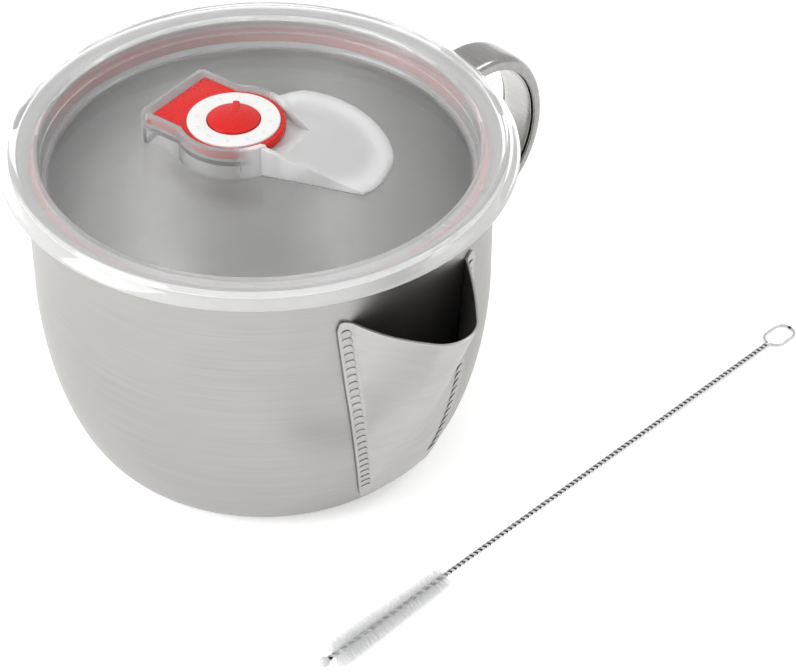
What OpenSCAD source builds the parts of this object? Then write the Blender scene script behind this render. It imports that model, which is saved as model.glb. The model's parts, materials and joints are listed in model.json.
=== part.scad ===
// Stainless melting pot with a folded pouring spout, an ear-shaped handle,
// a clear plug lid with a hinged vent flap and dial, and a twisted-wire brush.
// The origin is the centre of the flat base. The spout points along -Y,
// the handle along +X, and the brush lies on the same surface as the base.

/* [Pot] */
// Outer radius of the straight upper wall
pot_r = 70; // [65:0.5:75]
// Radius of the flat base
base_r = 52.4; // [45:0.1:60]
// Height at which the rounded bowl meets the straight wall
bowl_h = 55.25; // [45:0.25:62]
// Height of the rim
rim_h = 101.5; // [98:0.1:106]
// Thickness of the sheet steel
sheet_t = 0.8; // [0.6:0.1:1.2]
// How far the turned rim stands out from the wall
rim_out = 3.1; // [2:0.1:3.2]

/* [Spout] */
// Distance from the pot's axis to the tip of the spout at the lip
lip_reach = 90.9; // [85:0.1:95]
// Height of the lip at the tip
lip_h = 82.4; // [78:0.1:85]
// Height of the top of the flanges
flange_h = 87; // [84:0.5:90]
// Radius of the rounded ridge
ridge_r = 11; // [7:0.5:14]
// Lean of the ridge, as outward travel for each unit of height
ridge_lean = 0.4213; // [0.38:0.0001:0.45]
// Diameter of the pouring holes behind the spout
pour_hole_d = 4.6; // [3:0.1:6]

/* [Handle] */
// Width of the handle
handle_w = 15; // [12:0.5:20]
// Depth of the channel's sides
channel_d = 4.4; // [3:0.1:6]
// Outermost reach of the handle from the pot's axis
handle_reach = 113; // [106:0.1:116]
// Height of the top of the handle
handle_top = 95.5; // [88:0.5:96]
// Height of the underside of the handle
handle_low = 36.5; // [34:0.5:44]

/* [Lid] */
// Outer radius of the lid
lid_r = 77.5; // [76:0.1:79]
// Radius of the recess inside the lid's crest
recess_r = 66; // [63:0.1:66.2]
// Height of the crest above the base
crest_h = 103.6; // [103.4:0.1:104.5]
// Height of the recessed panel
panel_h = 93; // [91:0.5:95]
// Thickness of the clear plastic
wall_t = 1.6; // [1.2:0.1:2]

/* [Vent] */
// Dial centre along X
vent_x = 1; // [-5:0.5:5]
// Dial centre along Y
vent_y = 13.5; // [8:0.5:18]
// Turn of the vent about the dial centre
vent_turn = 12; // [0:1:30]
// Radius of the flap's round head
flap_r = 15.7; // [14:0.1:16]
// Half width of the flap's square tab
tab_half_w = 13; // [10:0.1:13.5]
// Distance from the dial centre to the hinge axis
hinge_reach = 21.5; // [20:0.1:24]
// Outer radius of the white ring
ring_r = 14.1; // [12:0.1:14.5]
// Radius of the knob
knob_r = 7.9; // [6:0.1:8]

/* [Brush] */
// Length of the brush over the bead and the eye
brush_len = 220; // [200:0.1:230]
// Diameter of the bristles beside the bead
bristle_d = 9.7; // [8:0.1:14]
// Diameter of the bristles at their other end
bristle_end_d = 6.8; // [5:0.1:14]
// Length of the bristled part
bristle_len = 46; // [40:1:60]
// Diameter over the twisted pair of wires
twist_d = 1.8; // [1.6:0.1:3.2]
// Diameter of one wire
wire_d = 0.9; // [0.8:0.1:1.6]
// Turn of the brush on the surface
brush_turn = 4; // [0:0.1:10]

/* [Hidden] */
$fn = 96;

steel = [0.74, 0.74, 0.72];
dark_steel = [0.5, 0.49, 0.47];
clear = [0.86, 0.88, 0.88, 0.35];
red = [0.82, 0.1, 0.08];
white = [0.95, 0.95, 0.95];

// The bowl is a superellipse between the flat base and the straight wall
bowl_power = 1.118;
bowl_steps = 24;
mouth_gap = 0.05;
spout_low = 8;
// Half angles of the spout's fold at its foot, and what they gain up to the top
fold_foot = 8.1;
fold_gain = 10.4;
fold_power = 0.62;
flange_turn = 3.7;
spout_rows = 26;
spout_cols = 22;
flange_cols = 4;
rim_bend = 3;
brush_tip_xy = [-65.4, -102.4];
bristle_start = 5.3;
eye_r = 3.6;
eye_straight = 4.5;
seam_nuggets = 25;
nugget_steps = 4;

// Radius of the pot's outer wall at height z
function wall_r(z) =
    z >= bowl_h ? pot_r :
    base_r + (pot_r - base_r) * pow(sin(acos(pow(1 - z / bowl_h, 1 / bowl_power))), bowl_power);

// Bowl outline from the base up to the straight wall, for an outer or inner skin
function bowl_line(foot_r, top_r, foot_z) = [
    for (i = [0:bowl_steps])
        let (a = 90 * i / bowl_steps)
        [foot_r + (top_r - foot_r) * pow(sin(a), bowl_power),
         foot_z + (bowl_h - foot_z) * (1 - pow(cos(a), bowl_power))]
];

function reversed(list) = [for (i = [len(list) - 1:-1:0]) list[i]];

// Quarter arc of a turned edge, from angle a0 to a1 about [cx, cy]
function arc_line(cx, cy, r, a0, a1, steps) = [
    for (i = [0:steps])
        let (a = a0 + (a1 - a0) * i / steps)
        [cx + r * cos(a), cy + r * sin(a)]
];

module pot_body() {
    outer_bend = rim_bend - sheet_t;
    color(steel)
    difference() {
        rotate_extrude()
        polygon(concat(
            [[0, 0]],
            bowl_line(base_r, pot_r, 0),
            arc_line(pot_r + outer_bend, rim_h - rim_bend, outer_bend, 180, 90, 6),
            [[pot_r + rim_out, rim_h - sheet_t],
             [pot_r + rim_out, rim_h]],
            arc_line(pot_r + outer_bend, rim_h - rim_bend, rim_bend, 90, 180, 6),
            reversed(bowl_line(base_r - sheet_t / 2, pot_r - sheet_t, sheet_t)),
            [[0, sheet_t]]
        ));
        pouring_holes();
    }
}

// Three rows of holes low in the wall, which let the pot empty into the spout
module pouring_holes() {
    lowest = 29;
    row_rise = 8;
    hole_turn = 6.4;
    for (row = [0:2])
        for (i = [0:row + 1])
            rotate([0, 0, (i - (row + 1) / 2) * hole_turn])
            translate([0, -pot_r + 14, lowest + row * row_rise])
            rotate([90, 0, 0])
            cylinder(d = pour_hole_d, h = 20);
}

// Angles from the spout's middle to its fold and to the flange's outer edge
function fold_angle(z) =
    fold_foot + fold_gain * pow((z - spout_low) / (flange_h - spout_low), fold_power);
function edge_angle(z) = fold_angle(z) + flange_turn;

// A point of the spout's sheet at height z. Position t runs from 0 at the ridge
// to 1 at the fold and 2 at the flange's edge; depth is measured into the sheet.
function spout_point(z, t, depth) =
    let (
        skin_r = wall_r(z) + mouth_gap + sheet_t,
        fold = [skin_r * sin(fold_angle(z)), skin_r * cos(fold_angle(z))],
        ridge_y = lip_reach - ridge_lean * (lip_h - z) - ridge_r,
        span = [fold[0], fold[1] - ridge_y],
        reach = norm(span),
        bend = atan2(span[0], span[1]) - acos(ridge_r / reach),
        straight = sqrt(reach * reach - ridge_r * ridge_r),
        arc = ridge_r * bend * PI / 180,
        s = min(t, 1) * (arc + straight),
        a = s < arc ? s / ridge_r * 180 / PI : bend,
        on_flat = max(s - arc, 0),
        p = [ridge_r * sin(a) + on_flat * cos(a), ridge_y + ridge_r * cos(a) - on_flat * sin(a)],
        q = fold_angle(z) + (t - 1) * (edge_angle(z) - fold_angle(z)),
        deep = t > 1 ? (skin_r - depth) * [sin(q), cos(q)] : p - depth * [sin(a), cos(a)],
        least = skin_r - depth
    )
    norm(deep) < least ? deep * least / norm(deep) : deep;

// Height of the sheet's top edge: lowest at the lip, highest on the flanges
function spout_top(t) =
    t <= 1 ? lip_h + (flange_h - 1 - lip_h) * pow(t, 3) :
    t < 1.6 ? flange_h - 1 + sin((t - 1) * 150) :
    flange_h - 3.2 * pow((t - 1.6) / 0.4, 2);

// Signed positions across the sheet, from the left flange's edge to the right's
spout_ts = concat(
    [for (i = [flange_cols:-1:1]) -1 - i / flange_cols],
    [for (i = [spout_cols:-1:-spout_cols]) -i / spout_cols],
    [for (i = [1:flange_cols]) 1 + i / flange_cols]
);

function spout_xyz(z, t, depth) =
    let (p = spout_point(z, abs(t), depth))
    [sign(t) * p[0], -p[1], z];

// A sheet from two grids of points that share their edges: the outer skin first
function sheet_faces(rows, cols) =
    let (
        n = rows * cols,
        strip = function(base, flip) [
            for (r = [0:rows - 2]) for (c = [0:cols - 2])
                let (
                    a = base + r * cols + c,
                    quad = [a, a + 1, a + cols + 1, a + cols]
                )
                for (tri = [[quad[0], quad[1], quad[2]], [quad[0], quad[2], quad[3]]])
                    flip ? [tri[2], tri[1], tri[0]] : tri
        ],
        rim = function(a, b) [[a, b, b + n], [a, b + n, a + n]]
    )
    concat(
        strip(0, false),
        strip(n, true),
        [for (c = [0:cols - 2]) each rim(c + 1, c)],
        [for (c = [0:cols - 2]) each rim((rows - 1) * cols + c, (rows - 1) * cols + c + 1)],
        [for (r = [0:rows - 2]) each rim(r * cols, (r + 1) * cols)],
        [for (r = [0:rows - 2]) each rim((r + 2) * cols - 1, (r + 1) * cols - 1)]
    );

module spout() {
    cols = len(spout_ts);
    grid = function(depth) [
        for (r = [0:spout_rows - 1]) for (t = spout_ts)
            spout_xyz(spout_low + (spout_top(abs(t)) - spout_low) * r / (spout_rows - 1), t, depth)
    ];
    color(steel)
    polyhedron(concat(grid(0), grid(sheet_t)), sheet_faces(spout_rows, cols), convexity = 6);
}

// A row of overlapping weld nuggets along the middle of one flange
module weld_seam(side) {
    low = 13;
    high = 83.5;
    rings = seam_nuggets * nugget_steps;
    sides = 8;
    swell = [0.75, 1, 0.98, 0.86];
    points = [
        for (i = [0:rings])
            let (
                z = low + (high - low) * i / rings,
                a = (fold_angle(z) + edge_angle(z)) / 2,
                size = swell[i % nugget_steps],
                r = wall_r(z) + mouth_gap + sheet_t
            )
            for (k = [0:sides - 1])
                let (
                    b = 360 * k / sides,
                    across = 1.7 * size * cos(b),
                    out = r + 0.32 * size * sin(b),
                    turn = a + across / r * 180 / PI
                )
                [side * out * sin(turn), -out * cos(turn), z]
    ];
    ring_face = [for (k = [0:sides - 1]) k];
    faces = concat(
        [ring_face],
        [for (i = [0:rings - 1]) for (k = [0:sides - 1])
            let (a = i * sides + k, b = i * sides + (k + 1) % sides)
            each [[a, a + sides, b], [b, a + sides, b + sides]]],
        [reversed([for (k = ring_face) rings * sides + k])]
    );
    color(dark_steel)
    polyhedron(points, side > 0 ? faces : [for (f = faces) reversed(f)], convexity = 6);
}

module left_weld_seam() { weld_seam(-1); }

module right_weld_seam() { weld_seam(1); }

// The handle's outer line in the X-Z plane: out from the wall, round, and back.
// Returns [x, z, direction of the outward normal].
handle_root = 69.75;
handle_mid_x = 87;
function handle_station(i, count) =
    let (
        mid_z = (handle_top + handle_low) / 2,
        half_x = handle_reach - handle_mid_x,
        half_z = (handle_top - handle_low) / 2,
        lead = 3,
        turn = 90 - 180 * (i - lead) / (count - 2 * lead)
    )
    i < lead ? [handle_root + (handle_mid_x - handle_root) * i / lead,
                handle_top - 1.6 * pow(1 - i / lead, 2), 90 + 10 * (1 - i / lead)] :
    i > count - lead ? [handle_root + (handle_mid_x - handle_root) * (count - i) / lead,
                        handle_low - 0.8 * pow(1 - (count - i) / lead, 2), -90] :
    [handle_mid_x + half_x * cos(turn), mid_z + half_z * sin(turn),
     atan2(sin(turn) / half_z, cos(turn) / half_x)];

// Sweeps a closed section, given as [across, outward] points, along the handle.
// The section runs across the outside and back along the inside, point for point.
module handle_sweep(section) {
    count = 44;
    n = len(section);
    points = [
        for (i = [0:count])
            let (s = handle_station(i, count))
            for (p = section)
                let (root = i == 0 || i == count)
                [s[0] + (root ? 0 : p[1] * cos(s[2])), p[0], s[1] + p[1] * sin(s[2])]
    ];
    end = count * n;
    faces = concat(
        [for (k = [0:n / 2 - 2]) [k, k + 1, n - 2 - k, n - 1 - k]],
        [for (i = [0:count - 1]) for (k = [0:n - 1])
            let (a = i * n + k, b = i * n + (k + 1) % n)
            each [[a, a + n, b], [b, a + n, b + n]]],
        [for (k = [0:n / 2 - 2]) [end + n - 1 - k, end + n - 2 - k, end + k + 1, end + k]]
    );
    polyhedron(points, faces, convexity = 8);
}

module handle_outer_shell() {
    half = handle_w / 2;
    skin = [
        [-half, -channel_d], [-half, -2.6], [-half + 0.5, -1.4], [-half + 1.7, -0.6], [-half + 4, -0.1],
        [half - 4, -0.1], [half - 1.7, -0.6], [half - 0.5, -1.4], [half, -2.6], [half, -channel_d]
    ];
    lining = [for (p = reversed(skin))
        [p[0] * (half - sheet_t) / half, p[1] <= -channel_d ? p[1] : p[1] - sheet_t]];
    color(steel) handle_sweep(concat(skin, lining));
}

module handle_inner_strip() {
    half = handle_w / 2 - sheet_t - 0.6;
    top = -channel_d + 0.2;
    color(steel)
    handle_sweep([[-half, top - sheet_t], [-half, top], [half, top], [half, top - sheet_t]]);
}

// Cross-section of the lid, turned about the pot's axis
module lid_section() {
    under = panel_h - wall_t;
    polygon(concat(
        [[0, panel_h], [recess_r - 2.8, panel_h], [recess_r - 1.4, panel_h + 0.5],
         [recess_r - 0.8, panel_h + 1.8], [recess_r - 0.4, crest_h - 1], [recess_r, crest_h - 0.3],
         [recess_r + 0.6, crest_h], [pot_r + 1.6, crest_h], [pot_r + 2.2, crest_h + 0.4],
         [pot_r + 2.8, crest_h + 0.7], [pot_r + 3.5, crest_h + 0.5]],
        [[lid_r - 2.3, crest_h - 0.6], [lid_r - 0.9, crest_h - 1.8], [lid_r - 0.1, crest_h - 2.8],
         [lid_r, crest_h - 3.3], [lid_r - 0.2, crest_h - 3.7], [lid_r - 0.8, crest_h - 3.8],
         [lid_r - 1.5, crest_h - 3.4], [lid_r - 2.5, crest_h - 2.3], [pot_r + rim_out + 0.6, crest_h - 1.6]],
        [[pot_r + rim_out + 0.4, rim_h + mouth_gap], [recess_r + 1.2, rim_h + mouth_gap],
         [recess_r + 1.2, panel_h + 4.3], [recess_r + 0.6, panel_h + 4.3],
         [recess_r + 0.6, panel_h + 1.2], [recess_r + 1.2, panel_h + 1.2],
         [recess_r + 1.2, panel_h], [recess_r + 0.8, under + 0.6], [recess_r, under], [0, under]]
    ));
}

// Puts the children in the vent's own frame: dial at the origin, tab along +Y
module at_vent() {
    translate([vent_x, vent_y, 0])
    rotate([0, 0, vent_turn])
    children();
}

pocket_floor = crest_h - 4.6;
flap_low = pocket_floor + 0.3;
flap_high = flap_low + 3;
hinge_h = flap_low + 1.3;
pin_r = 1.2;
hole_r = 4.5;
pocket_r = flap_r + 0.5;
pocket_half_w = tab_half_w + 0.3;
pocket_reach = hinge_reach + 1.8;

// Outline of the raised vent housing, grown by some margin
module housing_outline(grow) {
    circle(pocket_r + grow);
    translate([-pocket_half_w - grow, 0])
    square([2 * (pocket_half_w + grow), pocket_reach + grow]);
}

// The ramp's footprint is a circle cut by a straight side, and it falls along ramp_away
ramp_mid = [9.1, -24.4];
ramp_r = 23;
ramp_side = -161.5;
ramp_side_reach = 12;
ramp_away = -74;
ramp_top_end = 14;
ramp_foot = 48.5;

// Leaf-shaped footprint of the ramp beside the housing
module ramp_footprint(grow) {
    intersection() {
        translate(ramp_mid) circle(ramp_r + grow);
        rotate([0, 0, ramp_side]) translate([-60, -60]) square([60 + ramp_side_reach + grow, 120]);
    }
}

// Wedge that falls from the housing towards the far side of the lid
module ramp_wedge(drop) {
    rotate([0, 0, ramp_away])
    rotate([90, 0, 0])
    linear_extrude(height = 90, center = true)
    polygon([[-8, 80], [-8, crest_h - 0.7 - drop], [ramp_top_end, crest_h - 0.7 - drop],
             [ramp_foot, panel_h + 0.2 - drop], [60, panel_h - 0.4 - drop], [60, 80]]);
}

module ramp(grow, drop) {
    intersection() {
        translate([0, 0, panel_h - wall_t - drop])
        linear_extrude(height = 20) ramp_footprint(grow);
        ramp_wedge(drop);
    }
}

// Space under a fingertip beside the flap's round head
module finger_scoop() {
    intersection() {
        translate([0, 0, pocket_floor])
        linear_extrude(height = 10)
        polygon([[-8.4, -8], [-3.2, -23.5], [10.8, -23.5], [14.5, -6]]);
        rotate([90, 0, 90])
        linear_extrude(height = 40, center = true)
        polygon([[-24, pocket_floor + 2.6], [-16, pocket_floor], [-4, pocket_floor],
                 [-4, pocket_floor + 8], [-24, pocket_floor + 8]]);
    }
}

module lid_shell() {
    color(clear)
    difference() {
        union() {
            rotate_extrude() lid_section();
            at_vent() {
                translate([0, 0, panel_h - wall_t])
                linear_extrude(height = crest_h - panel_h + wall_t) housing_outline(1.5);
                ramp(0, 0);
            }
        }
        at_vent() {
            translate([0, 0, pocket_floor])
            linear_extrude(height = 12) housing_outline(0);
            finger_scoop();
            // hollow under the pocket floor and the ramp
            translate([0, 0, panel_h - wall_t - 1])
            linear_extrude(height = pocket_floor - panel_h + 1) housing_outline(0);
            intersection() {
                ramp(-wall_t, wall_t + 1.2);
                translate([-60, -60, 0]) cube([120, 120, pocket_floor - wall_t]);
            }
            cylinder(r = hole_r, h = 120);
            translate([-pocket_half_w - 1, hinge_reach, hinge_h])
            rotate([0, 90, 0])
            cylinder(r = pin_r + 0.05, h = 2 * pocket_half_w + 2);
        }
    }
}

module lid_seal() {
    seat = recess_r + 0.65;
    low = panel_h + 1.25;
    high = panel_h + 4.25;
    lip = pot_r - sheet_t - 0.2;
    color(red)
    rotate_extrude()
    polygon([[seat, low], [seat + 0.9, low], [lip, low + 0.35], [lip, low + 0.95], [lip - 1, low + 1.25],
             [lip - 1, high - 1.15], [lip, high - 0.85], [lip, high - 0.35], [seat + 0.9, high],
             [seat, high]]);
}

module vent_flap() {
    ring_seat = 0.5;
    color(red)
    at_vent()
    difference() {
        union() {
            translate([0, 0, flap_low]) cylinder(r = flap_r, h = flap_high - flap_low);
            translate([-tab_half_w, 0, flap_low])
            cube([2 * tab_half_w, hinge_reach, flap_high - flap_low]);
            translate([-tab_half_w, hinge_reach, hinge_h])
            rotate([0, 90, 0]) cylinder(r = 1.3, h = 2 * tab_half_w);
            translate([-pocket_half_w - 0.9, hinge_reach, hinge_h])
            rotate([0, 90, 0]) cylinder(r = pin_r, h = 2 * pocket_half_w + 1.8);
        }
        // annular seat for the white ring
        translate([0, 0, flap_high - ring_seat])
        difference() {
            cylinder(r = ring_r + 0.02, h = 5);
            translate([0, 0, -1]) cylinder(r = knob_r + 0.25, h = 7);
        }
        // bore for the knob's spindle and seat for the plug
        translate([0, 0, flap_low - 1]) cylinder(r = 2.55, h = 6);
        translate([0, 0, flap_low - 1]) cylinder(r = 6.02, h = 1.5);
    }
}

module vent_plug() {
    color(white)
    at_vent() {
        translate([0, 0, flap_low - 0.25]) cylinder(r = 6, h = 0.75);
        translate([0, 0, flap_low - 2.4]) cylinder(r = 3.7, h = 2.2);
    }
}

module dial_ring() {
    color(white)
    at_vent()
    translate([0, 0, flap_high - 0.5])
    difference() {
        cylinder(r = ring_r, h = 1.1);
        translate([0, 0, -1]) cylinder(r = knob_r + 0.3, h = 3);
    }
}

module dial_knob() {
    seat = flap_high + 0.05;
    crown = 1.1;
    // sphere that meets the knob's edge at the crown's foot
    dome_r = (knob_r * knob_r + crown * crown) / (2 * crown);
    color(red)
    at_vent() {
        translate([0, 0, flap_low + 0.6]) cylinder(r = 2.5, h = seat - flap_low - 0.5);
        translate([0, 0, seat]) cylinder(r = knob_r, h = 0.9);
        intersection() {
            translate([0, 0, seat + 0.9 + crown - dome_r]) sphere(r = dome_r, $fn = 160);
            translate([0, 0, seat + 0.85]) cylinder(r = knob_r, h = crown + 1);
        }
        // pointer that shows the chosen number
        rotate([0, 0, -58])
        translate([-1.1, 2.4, seat]) cube([2.2, 5.4, 2]);
    }
}

bead_r = 1.6;
rest_gap = 0.05;
// Tilt that rests the brush on the wide end of its bristles and on its eye
brush_tilt = asin((bristle_d / 2 - wire_d / 2) / (brush_len - bristle_start));
brush_tip_z = bristle_d / 2 + rest_gap + bristle_start * sin(brush_tilt);
twist_start = 2 * bead_r - 0.2;
eye_start = brush_len - 2 * eye_r - wire_d - eye_straight;

// Puts the children in the brush's own frame: bead at the origin, eye along +X
module at_brush() {
    translate([brush_tip_xy[0], brush_tip_xy[1], brush_tip_z])
    rotate([0, 0, brush_turn])
    rotate([0, brush_tilt, 0])
    children();
}

module brush_stem() {
    color(dark_steel)
    at_brush()
    translate([twist_start, 0, 0])
    rotate([0, 90, 0])
    cylinder(d = twist_d, h = eye_start - twist_start);
}

// Round-ended loop of single wire
module brush_eye() {
    mid = eye_start + eye_r + wire_d / 2;
    color(dark_steel)
    at_brush()
    for (end = [0, 1])
        translate([mid + end * eye_straight, 0, 0])
        rotate([0, 0, end * 180]) {
            rotate([0, 0, 90])
            rotate_extrude(angle = 180) translate([eye_r, 0]) circle(d = wire_d, $fn = 24);
            translate([-0.01, eye_r, 0])
            rotate([0, 90, 0])
            cylinder(d = wire_d, h = eye_straight + 0.02, $fn = 24);
        }
}

module brush_bristles() {
    color(white)
    at_brush()
    translate([bristle_start, 0, 0])
    rotate([0, 90, 0])
    difference() {
        cylinder(d1 = bristle_d, d2 = bristle_end_d, h = bristle_len);
        translate([0, 0, -1]) cylinder(d = twist_d, h = bristle_len + 2);
    }
}

// Ball with a small flat where the wire enters it
module brush_bead() {
    color(white)
    at_brush()
    rotate([0, 90, 0])
    rotate_extrude()
    polygon(concat(
        arc_line(0, bead_r, bead_r, -90, asin((twist_start - bead_r) / bead_r), 18),
        [[0, twist_start]]
    ));
}

pot_body();
spout();
left_weld_seam();
right_weld_seam();
handle_outer_shell();
handle_inner_strip();
lid_shell();
lid_seal();
vent_flap();
vent_plug();
dial_ring();
dial_knob();
brush_stem();
brush_eye();
brush_bristles();
brush_bead();
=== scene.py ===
import json
import math
import random

import bpy
from mathutils import Matrix, Vector


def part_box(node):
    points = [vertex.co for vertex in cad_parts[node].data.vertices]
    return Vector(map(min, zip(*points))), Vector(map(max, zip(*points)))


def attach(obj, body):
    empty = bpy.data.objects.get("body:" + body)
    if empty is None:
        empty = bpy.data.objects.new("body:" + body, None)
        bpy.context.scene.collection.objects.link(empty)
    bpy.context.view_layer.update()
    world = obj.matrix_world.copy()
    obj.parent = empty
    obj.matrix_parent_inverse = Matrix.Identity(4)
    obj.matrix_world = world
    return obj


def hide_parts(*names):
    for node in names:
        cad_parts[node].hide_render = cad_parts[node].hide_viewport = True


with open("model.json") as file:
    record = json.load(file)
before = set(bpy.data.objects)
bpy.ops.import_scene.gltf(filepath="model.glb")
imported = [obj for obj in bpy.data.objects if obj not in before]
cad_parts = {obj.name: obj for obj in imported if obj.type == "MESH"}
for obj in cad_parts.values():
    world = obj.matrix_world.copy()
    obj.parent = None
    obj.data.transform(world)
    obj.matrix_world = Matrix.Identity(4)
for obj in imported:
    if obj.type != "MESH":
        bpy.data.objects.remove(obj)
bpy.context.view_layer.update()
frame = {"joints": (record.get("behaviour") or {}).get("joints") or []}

MM = 0.001
TURN = 2 * math.pi

# ---------------------------------------------------------------- sizes, in mm

# Pot
pot_low, pot_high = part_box("pot_body")
rim_out = 3.1
pot_r = pot_high.x / MM - rim_out
rim_h = pot_high.z / MM
base_r = 52.4
bowl_h = 55.25
bowl_power = 1.118
sheet_t = 0.8
rim_bend = 3.0
pour_hole_r = 2.3
pour_row_low, pour_row_gap = 29, 8
pour_degrees = 6.4

# Spout
lip_reach = 90.9
lip_h = 82.4
flange_h = 87.0
ridge_r = 11.0
ridge_lean = 0.4213
spout_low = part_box("spout")[0].z / MM
mouth_gap = 0.05
spout_belly = 0.7
edge_lift = 0.3
fold_start, fold_rise = 8, 79
fold_degrees, fold_spread, fold_power = 8.1, 10.4, 0.62
flange_degrees = 3.7
weld_low, weld_high = 13.0, 83.5
weld_nuggets = 25

# Handle
handle_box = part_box("handle_outer_shell")
handle_reach = handle_box[1].x / MM
handle_top = handle_box[1].z / MM
handle_low = handle_box[0].z / MM
handle_half_w = handle_box[1].y / MM
handle_mid_x = 87.0
handle_root_x = 69.75
channel_d = 4.4

# Lid
lid_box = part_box("lid_shell")
lid_r = lid_box[1].x / MM
lid_top = lid_box[1].z / MM
crest_h = lid_top - 0.7
panel_h = crest_h - 10.6
recess_r = 66.0
wall_t = 1.6

# Vent: the dial's middle comes from the knob's joint, and the whole vent is turned about it
joints = {joint["name"]: joint for joint in frame["joints"]}
dial_centre = Vector(joints["knob_turn"]["pos_m"])
vent_turn = math.radians(12)
vent_place = Matrix.Translation((dial_centre.x, dial_centre.y, 0)) @ Matrix.Rotation(vent_turn, 4, "Z")
pocket_floor = crest_h - 4.6
flap_low = pocket_floor + 0.3
flap_high = flap_low + 3.0
flap_r = 15.7
tab_half_w = 13.0
hinge_reach = 21.5
hinge_h = flap_low + 1.3
ring_r = 14.1
knob_r = 7.9
pointer_degrees, pointer_reach = 32, 2.4
number_h, number_reach = 2.0, 11.2

# Ramp beside the vent, measured from the dial's middle: a leaf trimmed on one side
ramp_away = math.radians(-74)
ramp_side = math.radians(-161.5)
leaf_x, leaf_y, leaf_r = 9.1, -24.4, 23
ramp_top_reach, ramp_foot_reach = 14, 48.5
ramp_side_reach = 12

# Marks on the lid's flange
mark_r, mark_reach = 1.9, 69.2

# Brush: the axis runs from the bead to the eye
bead_low, bead_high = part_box("brush_bead")
eye_low, eye_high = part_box("brush_eye")
bead_r = 1.6
bead_middle = (bead_low + bead_high) / 2
eye_middle = (eye_low + eye_high) / 2
brush_x = (eye_middle - bead_middle).normalized()
brush_y = Vector((0, 0, 1)).cross(brush_x).normalized()
brush_z = brush_x.cross(brush_y)
brush_place = Matrix((
    (brush_x.x, brush_y.x, brush_z.x, bead_middle.x),
    (brush_x.y, brush_y.y, brush_z.y, bead_middle.y),
    (brush_x.z, brush_y.z, brush_z.z, bead_middle.z),
    (0, 0, 0, 1),
)) @ Matrix.Translation((-bead_r * MM, 0, 0))
wire_r = 0.45
eye_r = 3.6
eye_straight = 4.5
eye_start = (eye_middle - bead_middle).length / MM + bead_r - eye_r - wire_r - eye_straight / 2
bristle_start, bristle_end = 5.3, 51.3
bristle_r, bristle_end_r = 4.85, 3.4
loose_turn, tight_turn = 5.75, 3.8
filament_r = 0.024
filament_groups, filaments_per_group = 20, 140
fan_share = 0.382


# ------------------------------------------------------------ modelling helpers

def deselect():
    if bpy.context.mode != "OBJECT":
        bpy.ops.object.mode_set(mode="OBJECT")
    bpy.ops.object.select_all(action="DESELECT")


def pick(*objects):
    deselect()
    for obj in objects:
        obj.select_set(True)
    bpy.context.view_layer.objects.active = objects[0]


def added(name):
    obj = bpy.context.active_object
    obj.name = name
    obj.data.name = name
    return obj


def edit(obj, mode="VERT"):
    pick(obj)
    bpy.ops.object.mode_set(mode="EDIT")
    bpy.ops.mesh.select_mode(type=mode)
    bpy.ops.mesh.select_all(action="SELECT")


def leave():
    bpy.ops.object.mode_set(mode="OBJECT")


def close_up(obj):
    """Merges doubled points and turns every face outwards."""
    edit(obj)
    bpy.ops.mesh.remove_doubles(threshold=2e-6)
    bpy.ops.mesh.normals_make_consistent(inside=False)
    leave()


def modify(obj, kind, **settings):
    pick(obj)
    modifier = obj.modifiers.new(kind.lower(), kind)
    for key, value in settings.items():
        setattr(modifier, key, value)
    bpy.ops.object.modifier_apply(modifier=modifier.name)
    return obj


def smooth(obj, degrees=35):
    pick(obj)
    bpy.ops.object.shade_smooth_by_angle(angle=math.radians(degrees))
    return obj


def soften(obj, width, segments=3, degrees=35):
    return modify(
        obj, "BEVEL", width=width * MM, segments=segments, limit_method="ANGLE",
        angle_limit=math.radians(degrees), use_clamp_overlap=True,
    )


def join(name, objects):
    pick(*objects)
    bpy.ops.object.join()
    return added(name)


def settle(obj, place=None):
    """Puts a piece's place into its mesh, so that its object sits at the origin."""
    pick(obj)
    if place is not None:
        obj.matrix_world = place @ obj.matrix_world
    bpy.ops.object.transform_apply(location=True, rotation=True, scale=True)
    return obj


def finish_piece(obj, material, body, nodes=()):
    obj.data.materials.clear()
    obj.data.materials.append(material)
    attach(obj, body)
    if nodes:
        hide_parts(*nodes)
    return obj


def arc(cx, cy, radius, start, end, steps):
    """Points on an arc, with its angles in degrees."""
    angles = [math.radians(start + (end - start) * i / steps) for i in range(steps + 1)]
    return [(cx + radius * math.cos(a), cy + radius * math.sin(a)) for a in angles]


def turned(name, outline, steps):
    """Draws a closed outline of (radius, height) points and spins it about the Z axis."""
    deselect()
    bpy.ops.mesh.primitive_plane_add(size=MM)
    obj = added(name)
    edit(obj)
    bpy.ops.mesh.merge(type="CENTER")
    bpy.ops.transform.translate(value=(outline[0][0] * MM, 0, outline[0][1] * MM))
    ends = outline[1:] + outline[:1]
    for before, after in zip(outline, ends):
        step = ((after[0] - before[0]) * MM, 0, (after[1] - before[1]) * MM)
        bpy.ops.mesh.extrude_region_move(TRANSFORM_OT_translate={"value": step})
    bpy.ops.mesh.select_all(action="SELECT")
    bpy.ops.mesh.remove_doubles(threshold=2e-6)
    bpy.ops.mesh.spin(steps=steps, angle=TURN, center=(0, 0, 0), axis=(0, 0, 1))
    bpy.ops.mesh.select_all(action="SELECT")
    bpy.ops.mesh.remove_doubles(threshold=2e-6)
    bpy.ops.mesh.delete_loose()
    leave()
    close_up(obj)
    return obj


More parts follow.
